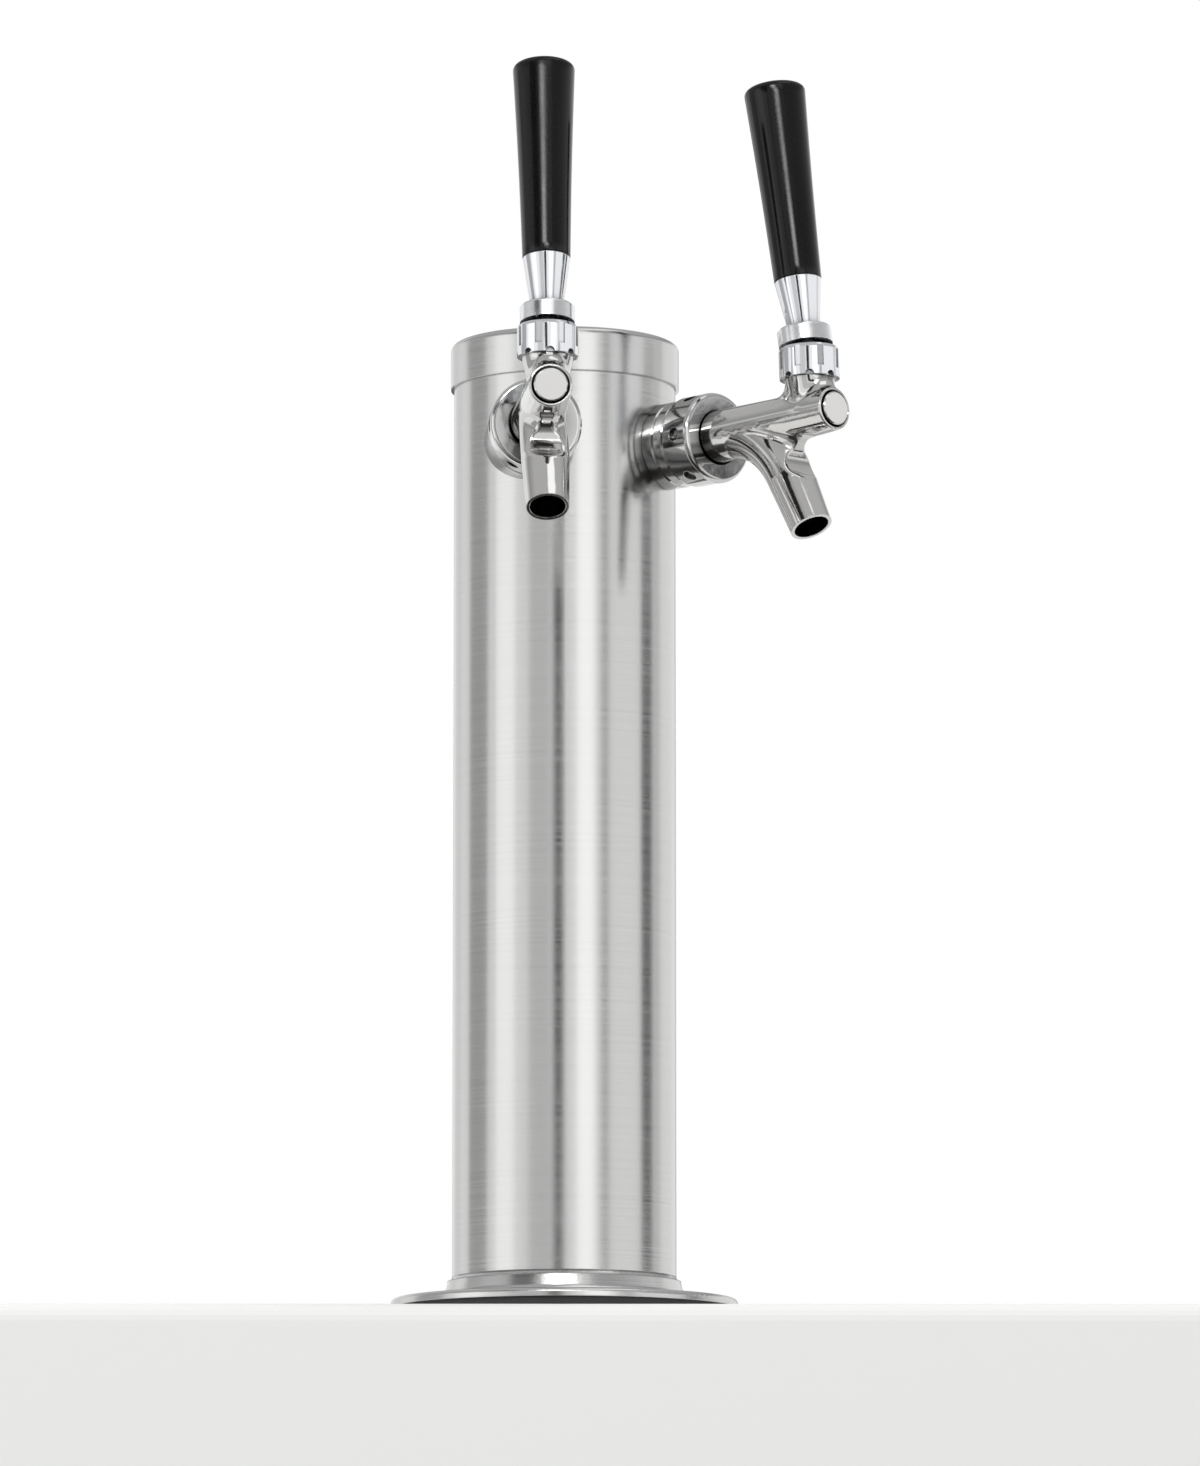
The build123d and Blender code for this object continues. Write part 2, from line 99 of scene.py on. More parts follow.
# %% Camera
view_turn = radians(-24)
eye_distance, eye_height = 2.79, -0.205
picture_height = 0.497
to_eye = Vector((sin(view_turn), -cos(view_turn), 0))
across = Vector((cos(view_turn), sin(view_turn), 0))
aim = Vector((0, 0, 0.196)) + across * 0.012 + to_eye * 0.03
eye = to_eye * eye_distance + Vector((0, 0, eye_height))
lens = bpy.data.cameras.new("viewer")
camera = bpy.data.objects.new("viewer", lens)
scene.collection.objects.link(camera)
scene.camera = camera
camera.location = eye
camera.rotation_euler = (aim - eye).to_track_quat("-Z", "Y").to_euler()
lens.lens = lens.sensor_width * (aim - eye).length / picture_height
lens.clip_end = 50
print("lens", round(lens.lens, 1), "mm")

# %% [markdown]
# ## The counter
# A tower is bolted to a counter or to the top of a keg cooler.  A plain pale block stands for it.
# Its front edge is close to the column, because an eye below the counter would otherwise see
# nothing of the foot, and it keeps the tower's soft shadow.

# %% Counter block
counter_front = 0.068


def stage_piece(bm, name, material):
    """Turn a bmesh into something of the room that isn't part of the object."""
    mesh = bpy.data.meshes.new(name)
    bm.to_mesh(mesh)
    bm.free()
    mesh.materials.append(material)
    thing = bpy.data.objects.new(name, mesh)
    scene.collection.objects.link(thing)
    return thing


pale_counter = bpy.data.materials.new("pale_counter")
pale_counter.use_nodes = True
counter_shader = pale_counter.node_tree.nodes["Principled BSDF"]
counter_shader.inputs["Base Color"].default_value = (0.86, 0.86, 0.85, 1)
counter_shader.inputs["Roughness"].default_value = 0.6
bm = bmesh.new()
bmesh.ops.create_cube(bm, size=1)
bmesh.ops.scale(bm, verts=bm.verts, vec=(2.4, 1.6, 0.8))
bmesh.ops.translate(bm, verts=bm.verts, vec=(0, 0.8 - counter_front, -0.4))
rim = [edge for edge in bm.edges if all(v.co.z > -0.01 for v in edge.verts)]
bmesh.ops.bevel(bm, geom=rim, offset=0.006, segments=5, profile=0.5, affect="EDGES", material=-1)
bmesh.ops.rotate(bm, verts=bm.verts, matrix=Matrix.Rotation(view_turn, 3, "Z"))
counter = stage_piece(bm, "counter_block", pale_counter)
print("counter", [round(side, 2) for side in counter.dimensions])

# %% [markdown]
# ## Softboxes
# Three large lamps give the shading of the rubber, plastic and counter.  Reflections don't see
# them: the cards below do that, because a lamp that is strong enough to light a room is far too
# bright to look at in a mirror.

# %% Lamps


def round_about(azimuth, distance, height):
    """A place in the room, with the azimuth counted from the viewer, positive to the right."""
    turn = view_turn + radians(azimuth)
    return Vector((sin(turn), -cos(turn), 0)) * distance + Vector((0, 0, height))


def softbox(name, azimuth, distance, height, size, power):
    lamp_data = bpy.data.lights.new(name, "AREA")
    lamp_data.shape = "RECTANGLE"
    lamp_data.size, lamp_data.size_y = size
    lamp_data.energy = power
    lamp = bpy.data.objects.new(name, lamp_data)
    scene.collection.objects.link(lamp)
    lamp.location = round_about(azimuth, distance, height)
    towards = Vector((0, 0, 0.25)) - lamp.location
    lamp.rotation_euler = towards.to_track_quat("-Z", "Y").to_euler()
    lamp.visible_glossy = False
    return lamp


softboxes = [
    softbox("key_softbox", -62, 2.4, 1.6, (1.0, 2.0), 34),
    softbox("fill_softbox", 26, 2.6, 1.0, (0.5, 2.2), 15),
    softbox("top_softbox", 150, 1.2, 2.4, (1.6, 1.6), 16),
]
print([lamp.name for lamp in softboxes])

# %% [markdown]
# ## Cards
# A photographer shapes bright metal with cards: white ones draw light stripes down a column and
# black ones draw dark stripes.  Each card here is a glowing sheet that only reflections see.  They
# could be lamps, but a card's tone is exactly what the metal shows, so it is easier to judge.

# %% Helpers for cards
card_edge_tone = 0.3


def only_reflected(sheet):
    """Hide a sheet from everything but reflections."""
    sheet.visible_camera = False
    sheet.visible_diffuse = False
    sheet.visible_shadow = False
    sheet.visible_transmission = False
    sheet.visible_volume_scatter = False
    return sheet


def glow_material(name):
    """A material that only glows, and its tree and emission node."""
    glow = bpy.data.materials.new(name)
    glow.use_nodes = True
    tree = glow.node_tree
    tree.nodes.clear()
    emit = tree.nodes.new("ShaderNodeEmission")
    end = tree.nodes.new("ShaderNodeOutputMaterial")
    tree.links.new(emit.outputs[0], end.inputs[0])
    return glow, tree, emit


def fade_out(tree, emit, centre, reach, tone):
    """Let a glow fall off smoothly from its full tone at the centre to a dim grey at its reach."""
    where = tree.nodes.new("ShaderNodeTexCoord")
    away = tree.nodes.new("ShaderNodeVectorMath")
    away.operation = "DISTANCE"
    away.inputs[1].default_value = centre
    fall = tree.nodes.new("ShaderNodeMapRange")
    fall.interpolation_type = "SMOOTHSTEP"
    fall.inputs["From Max"].default_value = reach
    fall.inputs["To Min"].default_value = tone
    fall.inputs["To Max"].default_value = card_edge_tone
    tree.links.new(where.outputs["Object"], away.inputs[0])
    tree.links.new(away.outputs["Value"], fall.inputs["Value"])
    tree.links.new(fall.outputs["Result"], emit.inputs["Strength"])


def card(name, centre, width, height, tone, target, colour=(1, 1, 1), soft=False):
    """A sheet that faces the target and that only reflections see."""
    glow, tree, emit = glow_material(name)
    emit.inputs["Color"].default_value = (*colour, 1)
    emit.inputs["Strength"].default_value = tone
    if soft:
        fade_out(tree, emit, centre, width / 2, tone)
    bm = bmesh.new()
    bmesh.ops.create_grid(bm, x_segments=1, y_segments=1, size=0.5)
    bmesh.ops.scale(bm, verts=bm.verts, vec=(width, height, 1))
    facing = (Vector(target) - Vector(centre)).to_track_quat("Z", "Y").to_matrix()
    bmesh.ops.rotate(bm, verts=bm.verts, matrix=facing)
    bmesh.ops.translate(bm, verts=bm.verts, vec=centre)
    return only_reflected(stage_piece(bm, name, glow))


def upright_card(name, azimuth, distance, middle, width, height, tone, soft=False):
    """A card that stands upright, with its middle at this height, and faces the tower's axis."""
    centre = round_about(azimuth, distance, middle)
    return card(name, centre, width, height, tone, (0, 0, middle), soft=soft)


def width_over(angle, distance):
    """How wide a card has to be to cover this angle from this distance."""
    return 2 * distance * tan(radians(angle / 2))


print("card helpers ready")

# %% [markdown]
# The main cards stand in a ring, so the column mirrors each as a stripe from top to foot.  Where a
# stripe lands depends only on the card's azimuth, and how wide it is on the angle that the card
# covers, so the ring is written down in those angles.

# %% The ring of cards
ring_distance, ring_height = 3.4, 0.5
ring = [  # name, azimuth and angle covered in degrees, height in metres, tone
    ("card_grey_left", -101, 29, 1.8, 0.45),
    ("card_white_left", -64, 22, 1.9, 1.36),
    ("card_grey_middle", -26, 22, 1.9, 0.68),
    ("card_black_middle", -6, 10, 2.2, 0.03),
    ("card_white_right", 22, 19, 1.9, 1.5),
    ("card_grey_right", 42, 8, 1.9, 0.5),
    ("card_black_right", 94, 16, 0.9, 0.13),
    ("card_grey_far", 110, 12, 1.8, 0.72),
]
for name, azimuth, angle, height, tone in ring:
    wide = width_over(angle, ring_distance)
    upright_card(name, azimuth, ring_distance, ring_height, wide, height, tone)
print(len(ring), "cards in the ring")

# %% [markdown]
# The ring is low, so only upright metal mirrors it.  What the rounded taps and the grips mirror is
# mostly above or below it.  Above is a grey tent, dark where it starts and paler overhead, which
# keeps black plastic black and gives chrome its middle greys.  Below is an apron that darkens
# downward, as a room does towards its floor, with a dimmer copy of the ring in front of it.  Each
# could be many cards; a spun sheet is smoother.

# %% The grey tent and the apron
sheet_radius, sheet_steps = 3.5, 48
tent_bottom, tent_top = 1.35, 3.2
apron_top, apron_bottom = -0.45, -3.3
low_share = 0.34


def spun_sheet(name, start, stop, tones):
    """A round wall from one height to another, closed at the far end; its greys go by height."""
    greys, tree, emit = glow_material(name)
    where = tree.nodes.new("ShaderNodeTexCoord")
    height = tree.nodes.new("ShaderNodeSeparateXYZ")
    share = tree.nodes.new("ShaderNodeMapRange")
    share.inputs["From Min"].default_value = start
    share.inputs["From Max"].default_value = stop
    ramp = tree.nodes.new("ShaderNodeValToRGB")
    marks = ramp.color_ramp.elements
    marks.new(0.5)
    for mark, (place, tone) in zip(marks, tones):
        mark.position = place
        mark.color = (tone, tone, tone, 1)
    tree.links.new(where.outputs["Object"], height.inputs[0])
    tree.links.new(height.outputs["Z"], share.inputs["Value"])
    tree.links.new(share.outputs["Result"], ramp.inputs["Fac"])
    tree.links.new(ramp.outputs["Color"], emit.inputs["Color"])
    bm = bmesh.new()
    outline = ((sheet_radius, 0, start), (sheet_radius, 0, stop), (0, 0, stop))
    corners = [bm.verts.new(spot) for spot in outline]
    line = [bm.edges.new(pair) for pair in zip(corners, corners[1:])]
    bmesh.ops.spin(
        bm,
        geom=corners + line,
        cent=(0, 0, 0),
        axis=(0, 0, 1),
        angle=2 * pi,
        steps=sheet_steps,
        use_merge=True,
    )
    bmesh.ops.remove_doubles(bm, verts=bm.verts, dist=0.0001)
    return only_reflected(stage_piece(bm, name, greys))


tent = spun_sheet("card_tent", tent_bottom, tent_top, ((0.0, 0.9), (0.3, 0.36), (1.0, 0.55)))
apron = spun_sheet("card_apron", apron_top, apron_bottom, ((0.0, 0.7), (0.3, 0.3), (1.0, 0.1)))
low_middle, low_height = (apron_top + apron_bottom) / 2, apron_top - apron_bottom
for name, azimuth, angle, height, tone in ring:
    wide = width_over(angle, ring_distance)
    dim = low_share * tone
    upright_card(f"{name}_low", azimuth, ring_distance, low_middle, wide, low_height, dim)
print("tent", len(tent.data.polygons), "faces; apron", len(apron.data.polygons))

# %% [markdown]
# Six more cards work on the small parts only.  Two bright ones high up, which fade towards their
# ends, draw the band of light on each black grip, and a black one beside them draws the dark band.
# White ones above light the lock rings and the fronts of the spouts.  A dark warm one below gives
# the taps their dark undersides, as a dark cooler under them would.

# %% High and low cards
warm_dark = (1.0, 0.93, 0.88)
tap_level = (0, 0, 0.25)
high_cards = [  # name, azimuth, distance, height of its middle, width, height, tone, fades out
    ("card_band_left", -9, 3.15, 1.94, 1.7, 0.26, 17.0, True),
    ("card_band_right", 2, 3.15, 1.65, 1.6, 0.22, 15.0, True),
    ("card_black_high", -44, 3.38, 1.9, 1.5, 0.9, 0.02, False),
    ("card_white_high", 4, 3.2, 2.45, 2.8, 0.84, 1.35, False),
]
for high_card in high_cards:
    upright_card(*high_card)
card("card_dark_low", round_about(0, 0.55, -1.2), 2.6, 1.6, 0.04, tap_level, warm_dark)
card("card_white_overhead", round_about(50, 1.3, 3.0), 2.3, 1.3, 1.35, tap_level)
print(len(high_cards) + 2, "cards for the small parts")

# %% [markdown]
# Behind the tower the counter hides the ring, so three narrow cards stand on it, close behind the
# column, and give its back some stripes too.

# %% Cards behind the tower
back_distance, back_height = 0.36, 0.6
back_cards = [  # name, azimuth and angle covered in degrees, tone
    ("card_grey_back", 163, 10, 0.5),
    ("card_black_back", 187, 14, 0.12),
    ("card_grey_side", 220, 20, 0.85),
]
for name, azimuth, angle, tone in back_cards:
    wide = width_over(angle, back_distance)
    upright_card(name, azimuth, back_distance, back_height / 2, wide, back_height, tone)
print(len(back_cards), "cards behind")

# %% [markdown]
# ## How a finish is made
# A finish is a node material: a colour, a roughness and a bump that all vary over the surface.
# Patterns could follow a UV map, but a CAD mesh has none, so every pattern here is solid: it reads
# the piece's own coordinates in metres, and a Mapping node sets how many grains there are to a
# metre in each direction.  The helpers below each add one such step.

# %% Helpers for finishes


def new_finish(name, colour, metallic, roughness):
    """Start a material and give back it, its tree and its shader."""
    material = bpy.data.materials.new(name)
    material.use_nodes = True
    tree = material.node_tree
    shader = tree.nodes["Principled BSDF"]
    shader.inputs["Base Color"].default_value = (*colour, 1)
    shader.inputs["Metallic"].default_value = metallic
    shader.inputs["Roughness"].default_value = roughness
    return material, tree, shader


def at_scale(tree, per_metre, turn=(0, 0, 0)):
    """The piece's own coordinates, stretched to so many units per metre in x, y and z."""
    where = tree.nodes.new("ShaderNodeTexCoord")
    mapping = tree.nodes.new("ShaderNodeMapping")
    mapping.inputs["Scale"].default_value = per_metre
    mapping.inputs["Rotation"].default_value = turn
    tree.links.new(where.outputs["Object"], mapping.inputs["Vector"])
    return mapping.outputs["Vector"]


def noise(tree, vector, detail=3.0, rough=0.5, distort=0.0):
    cloud = tree.nodes.new("ShaderNodeTexNoise")
    cloud.inputs["Scale"].default_value = 1
    cloud.inputs["Detail"].default_value = detail
    cloud.inputs["Roughness"].default_value = rough
    cloud.inputs["Distortion"].default_value = distort
    tree.links.new(vector, cloud.inputs["Vector"])
    return cloud.outputs["Fac"]


def spread(tree, value, low, high, start=0.0, stop=1.0):
    """Stretch a value from start..stop to low..high."""
    stretch = tree.nodes.new("ShaderNodeMapRange")
    stretch.inputs["From Min"].default_value = start
    stretch.inputs["From Max"].default_value = stop
    stretch.inputs["To Min"].default_value = low
    stretch.inputs["To Max"].default_value = high
    tree.links.new(value, stretch.inputs["Value"])
    return stretch.outputs["Result"]


def sums(tree, operation, first, second):
    step = tree.nodes.new("ShaderNodeMath")
    step.operation = operation
    for socket, value in zip(step.inputs, (first, second)):
        if isinstance(value, (int, float)):
            socket.default_value = value
        else:
            tree.links.new(value, socket)
    return step.outputs[0]


def tint(tree, value, *stops):
    """Colours along a value; each stop is a place from 0 to 1 and a colour."""
    ramp = tree.nodes.new("ShaderNodeValToRGB")
    marks = ramp.color_ramp.elements
    while len(marks) < len(stops):
        marks.new(0.5)
    for mark, (place, colour) in zip(marks, stops):
        mark.position = place
        mark.color = (*colour, 1)
    tree.links.new(value, ramp.inputs["Fac"])
    return ramp.outputs["Color"]


def relief(tree, height, depth, strength=1.0, under=None):
    """A bump that is this many metres deep, on top of another normal."""
    bump = tree.nodes.new("ShaderNodeBump")
    bump.inputs["Distance"].default_value = depth
    bump.inputs["Strength"].default_value = strength
    tree.links.new(height, bump.inputs["Height"])
    if under is not None:
        tree.links.new(under, bump.inputs["Normal"])
    return bump.outputs["Normal"]


def soft_edges(tree, radius):
    """Round the shading of sharp edges, so that they catch a line of light."""
    edge = tree.nodes.new("ShaderNodeBevel")
    edge.samples = 4
    edge.inputs["Radius"].default_value = radius
    return edge.outputs["Normal"]


print("helpers ready")

# %% [markdown]
# ### Brushed steel
# The column is tube that turned under an abrasive belt, so its grain runs round it.  Mirrors made
# that way blur up and down but stay sharp from side to side, which is why the cards appear as
# clean stripes.  An anisotropic shader could do it, but real grain lines as a bump do the same and
# also show up close: noise that is squeezed along the column and long across it.

# %% Brushed steel


def grain_lines(tree):
    """Fine and coarse brushing marks that run round the column."""
    fine = noise(tree, at_scale(tree, (16, 16, 4200)), 4, 0.6)
    coarse = noise(tree, at_scale(tree, (7, 7, 900)), 3, 0.5)
    return sums(tree, "ADD", sums(tree, "MULTIPLY", fine, 0.8), sums(tree, "MULTIPLY", coarse, 0.2))


def brushed(name, lines_of):
    material, tree, shader = new_finish(name, (0.62, 0.62, 0.615), 1, 0.2)
    grain = lines_of(tree)
    wipe = noise(tree, at_scale(tree, (11, 11, 5)), 3, 0.5, 0.4)
    dark, middle, light = (0.57, 0.57, 0.565), (0.605, 0.605, 0.6), (0.635, 0.635, 0.63)
    steel = tint(tree, grain, (0.3, dark), (0.5, middle), (0.7, light))
    tree.links.new(steel, shader.inputs["Base Color"])
    satin = spread(tree, grain, 0.15, 0.25, 0.3, 0.7)
    smeared = sums(tree, "ADD", satin, spread(tree, wipe, -0.02, 0.035, 0.35, 0.7))
    tree.links.new(smeared, shader.inputs["Roughness"])
    normal = relief(tree, grain, 0.000022, 0.7, soft_edges(tree, 0.0005))
    tree.links.new(normal, shader.inputs["Normal"])
    return material


column_steel = brushed("brushed_column", grain_lines)
print(column_steel.name, len(column_steel.node_tree.nodes), "nodes")

# %% [markdown]
# ### The cap's top and the base flange
# The top of the cap and the flange were turned on a lathe, so their marks are rings.  The distance
# from the tower's axis, which is where x and y are both zero, gives rings when it feeds a noise.

# %% Turned steel


def ring_lines(tree):
    """Lathe marks: noise along the distance from the tower's axis."""
    flat = at_scale(tree, (1, 1, 0))
    length = tree.nodes.new("ShaderNodeVectorMath")
    length.operation = "LENGTH"
    tree.links.new(flat, length.inputs[0])
    along = tree.nodes.new("ShaderNodeCombineXYZ")
    tree.links.new(sums(tree, "MULTIPLY", length.outputs["Value"], 3200), along.inputs["X"])
    return noise(tree, along.outputs[0], 4, 0.6)


def cap_lines(tree):
    """Rings on faces that look up, and the column's grain on the skirt."""
    facing = tree.nodes.new("ShaderNodeNewGeometry")
    parts = tree.nodes.new("ShaderNodeSeparateXYZ")
    tree.links.new(facing.outputs["Normal"], parts.inputs[0])
    upward = spread(tree, parts.outputs["Z"], 0, 1, 0.6, 0.9)
    blend = tree.nodes.new("ShaderNodeMix")
    tree.links.new(upward, blend.inputs[0])
    tree.links.new(grain_lines(tree), blend.inputs[2])
    tree.links.new(ring_lines(tree), blend.inputs[3])
    return blend.outputs[0]


cap_steel = brushed("brushed_cap", cap_lines)
flange_steel = brushed("turned_flange", ring_lines)
print(cap_steel.name, flange_steel.name)

# %% [markdown]
# ### Chrome
# The taps are brass castings that are polished and plated.  Chrome is a clean mirror, but the
# casting under it is never quite flat, so reflections wobble a little.  Fine wiping scratches and
# a breath of haze vary the roughness, and the colour is painted darker deep in the corners, as
# painted shade for the shade that falls there.

# %% Chrome


def corner_shade(tree, reach):
    """One in the open and less in corners that are this many metres across."""
    corner = tree.nodes.new("ShaderNodeAmbientOcclusion")
    corner.samples = 6
    corner.inputs["Distance"].default_value = reach
    return corner.outputs["AO"]


def chrome_plate(name, colour, low, high, shade_reach=0.012, stops=(0.18, 0.5, 0.88)):
    material, tree, shader = new_finish(name, colour, 1, low)
    haze = noise(tree, at_scale(tree, (90, 90, 90)), 4, 0.55)
    hairs = noise(tree, at_scale(tree, (260, 2600, 900), (0.4, 0.9, 0.3)), 3, 0.6)
    worn = sums(
        tree, "ADD", spread(tree, haze, 0, 0.7, 0.35, 0.7), spread(tree, hairs, 0, 0.3, 0.55, 0.75)
    )
    tree.links.new(spread(tree, worn, low, high), shader.inputs["Roughness"])
    # Painted shade: the base colour falls from its own tone through a dull grey to near black where
    # the corners close in.
    half_shade_colour = tuple(0.45 * tone for tone in colour)
    black = tuple(0.05 * tone for tone in colour)
    painted_shade_colour = tint(tree, corner_shade(tree, shade_reach), *zip(stops, (black, half_shade_colour, colour)))
    tree.links.new(painted_shade_colour, shader.inputs["Base Color"])
    wobble = noise(tree, at_scale(tree, (210, 210, 210)), 2, 0.4)
    wavy = relief(tree, wobble, 0.00004, 0.5, soft_edges(tree, 0.00035))
    tree.links.new(relief(tree, hairs, 0.000004, 0.5, wavy), shader.inputs["Normal"])
    return material


tap_chrome = chrome_plate("chrome_casting", (0.69, 0.685, 0.675), 0.045, 0.13)
# A darker copy of the chrome for the saddles and coupling nuts, with wider corners and steeper
# stops: more painted shade, which paints their rings and grooves darker.
fitting_chrome_painted_shade = chrome_plate(
    "chrome_fitting_painted_shade", (0.66, 0.66, 0.655), 0.05, 0.15, 0.016, (0.26, 0.6, 0.9)
)
turned_chrome = chrome_plate("chrome_turned", (0.80, 0.815, 0.84), 0.05, 0.14)
# A paler, rougher copy of the chrome for the lock rings; its pale colour is painted light that
# makes them look brighter.
satin_chrome_painted_light = chrome_plate("chrome_satin_painted_light", (0.87, 0.88, 0.9), 0.2, 0.32)
bolt_plate = chrome_plate("plated_bolt", (0.66, 0.67, 0.69), 0.16, 0.3)
print(tap_chrome.name, len(tap_chrome.node_tree.nodes), "nodes")

# %% [markdown]
# ### Plain stainless
# The lever and the hose stub are drawn stainless bar and tube.  Drawing leaves faint streaks and a
# softer shine than polishing does, so this finish is rougher, with a mottled colour.

# %% Drawn stainless


def drawn_metal(name, dark, light, low, high):
    material, tree, shader = new_finish(name, light, 1, low)
    streak = noise(tree, at_scale(tree, (2400, 2400, 120)), 3, 0.6)
    mottle = noise(tree, at_scale(tree, (160, 160, 160)), 4, 0.6)
    tree.links.new(tint(tree, mottle, (0.3, dark), (0.65, light)), shader.inputs["Base Color"])
    tree.links.new(spread(tree, streak, low, high, 0.3, 0.7), shader.inputs["Roughness"])
    bumped = relief(tree, streak, 0.000008, 0.6, soft_edges(tree, 0.0003))
    tree.links.new(bumped, shader.inputs["Normal"])
    return material


stub_steel = drawn_metal("drawn_stainless", (0.52, 0.52, 0.52), (0.64, 0.64, 0.64), 0.16, 0.28)
lock_brass = drawn_metal("machined_brass", (0.56, 0.38, 0.14), (0.76, 0.56, 0.25), 0.22, 0.38)
print(stub_steel.name, lock_brass.name)

# %% [markdown]
# ### Gloss black plastic
# The grips are moulded phenolic, nearly black with a deep gloss.  A flat black would look like a
# hole, so there is a fine fleck in the colour, the slight orange peel of a moulding, and smudges
# from hands that break the highlight.

# %% Black grips
grip_black, tree, shader = new_finish("grip_black", (0.006, 0.006, 0.0065), 0, 0.16)
fleck = noise(tree, at_scale(tree, (2600, 2600, 2600)), 2, 0.7)
dark_fleck = tint(tree, fleck, (0.45, (0.003, 0.003, 0.0033)), (0.75, (0.012, 0.012, 0.0125)))
tree.links.new(dark_fleck, shader.inputs["Base Color"])
smudge = noise(tree, at_scale(tree, (55, 55, 30)), 4, 0.6, 0.6)
tree.links.new(spread(tree, smudge, 0.10, 0.19, 0.35, 0.7), shader.inputs["Roughness"])
peel = noise(tree, at_scale(tree, (800, 800, 800)), 2, 0.5)
tree.links.new(relief(tree, peel, 0.00003, 0.35, soft_edges(tree, 0.0004)), shader.inputs["Normal"])
shader.inputs["Specular IOR Level"].default_value = 0.3
print(grip_black.name, len(tree.nodes), "nodes")

# %% [markdown]
# ### Rubber, foam and nylon
# What seals, insulates and slides is soft or moulded: black rubber under the base and in the taps,
# closed-cell foam round the beer lines, a grey plastic ring inside the cap and a nylon friction
# ring on each ball.  Each is a rough, non-metal surface; they differ in grain size and colour.

# %% Soft and moulded finishes


def moulded(name, dark, light, rough, grain, depth, sheen=0.0):
    """A non-metal with a mottled colour and a grain of so many bumps to the metre."""
    material, tree, shader = new_finish(name, light, 0, rough)
    pores = noise(tree, at_scale(tree, (grain, grain, grain)), 3, 0.6)
    patch = noise(tree, at_scale(tree, (70, 70, 70)), 4, 0.6)
    mixed = sums(
        tree, "ADD", sums(tree, "MULTIPLY", pores, 0.5), sums(tree, "MULTIPLY", patch, 0.5)
    )
    tree.links.new(tint(tree, mixed, (0.35, dark), (0.65, light)), shader.inputs["Base Color"])
    varied = spread(tree, mixed, rough - 0.08, rough + 0.08, 0.3, 0.7)
    tree.links.new(varied, shader.inputs["Roughness"])
    pitted = relief(tree, pores, depth, 0.6, soft_edges(tree, 0.0003))
    tree.links.new(pitted, shader.inputs["Normal"])
    shader.inputs["Sheen Weight"].default_value = sheen
    return material


seal_rubber = moulded(
    "seal_rubber", (0.014, 0.014, 0.014), (0.032, 0.032, 0.032), 0.62, 1500, 0.00006, 0.1
)
line_foam = moulded("line_foam", (0.03, 0.03, 0.032), (0.085, 0.085, 0.088), 0.86, 620, 0.0004, 0.2)
cap_plastic = moulded("cap_plastic", (0.13, 0.13, 0.132), (0.2, 0.2, 0.202), 0.48, 1100, 0.00005)
ring_nylon = moulded("ring_nylon", (0.7, 0.67, 0.58), (0.82, 0.8, 0.73), 0.42, 900, 0.00004)
print(seal_rubber.name, line_foam.name, cap_plastic.name, ring_nylon.name)

# %% [markdown]
# ## Dress the CAD pieces
# The record names a material slot for every node.  Going through it gives each its finish.  The
# cap gets its own version of its slot's steel.  The small turned parts get a whiter chrome than the
# castings, the saddles and nuts a darker copy with more painted shade, and the lock rings a paler
# satin copy whose extra brightness is painted light.

# %% Assign finishes
finish_of = {
    "brushed_steel": column_steel,
    "polished_steel": flange_steel,
    "stub_steel": stub_steel,
    "plated_steel": bolt_plate,
    "chrome": tap_chrome,
    "brass": lock_brass,
    "black_rubber": seal_rubber,
    "foam": line_foam,
    "grey_plastic": cap_plastic,
    "nylon": ring_nylon,
    "black_gloss": grip_black,
}
for part in frame["record"]["subparts"]:
    dressed = nodes[part["node"]]
    dressed.data.materials.clear()
    dressed.data.materials.append(finish_of[part["material_slot"]])
nodes["top_cap"].data.materials[0] = cap_steel
for side_name in ("left", "right"):
    for turned_part in ("bonnet", "handle_ferrule"):
        nodes[f"{side_name}_{turned_part}"].data.materials[0] = turned_chrome
    for fitting in ("shank_saddle", "coupling_nut"):
        nodes[f"{side_name}_{fitting}"].data.materials[0] = fitting_chrome_painted_shade
    nodes[f"{side_name}_lever_lock_ring"].data.materials[0] = satin_chrome_painted_light
print(len(finish_of), "finishes on", len(nodes), "nodes")

# %% [markdown]
# ## Places on the taps
# The new pieces need the same places that the CAD model uses.  Each tap leaves the column at a
# wall angle, and points out at a smaller splay angle.  A matrix for each tap turns a point that is
# given outward, sideways and upward from the shank hole into a point of the room.

# %% Tap frames
column_radius = 0.0381
wall_angle, splay_angle, shank_height = radians(42), radians(19), 0.297
sides = {"left": -1, "right": 1}


def tap_frame(side):
    out = Vector((side * sin(splay_angle), -cos(splay_angle), 0))
    up = Vector((0, 0, 1))
    sideways = up.cross(out)
    root = Vector((side * sin(wall_angle), -cos(wall_angle), 0)) * column_radius + up * shank_height
    frame_of_tap = Matrix((out, sideways, up)).transposed().to_4x4()
    return Matrix.Translation(root) @ frame_of_tap


def lever_frame(side):
    """Along the closed lever: up its axis from the pivot, which leans towards the column."""
    pivot = Matrix.Translation((0.0698, 0, 0.0154))
    return tap_frame(side) @ pivot @ Matrix.Rotation(radians(-9.3), 4, "Y")


for name, side in sides.items():
    print(name, "pivot at", [round(v, 4) for v in lever_frame(side).translation])

# %% [markdown]
# ## Shaping by lathe
# Grips and welds are round, so each starts as one profile that is spun about an axis.  A ring of
# vertices could be written out by hand, but the spin operator makes it, and its merge option closes
# the last step onto the first.

# %% Lathe helpers


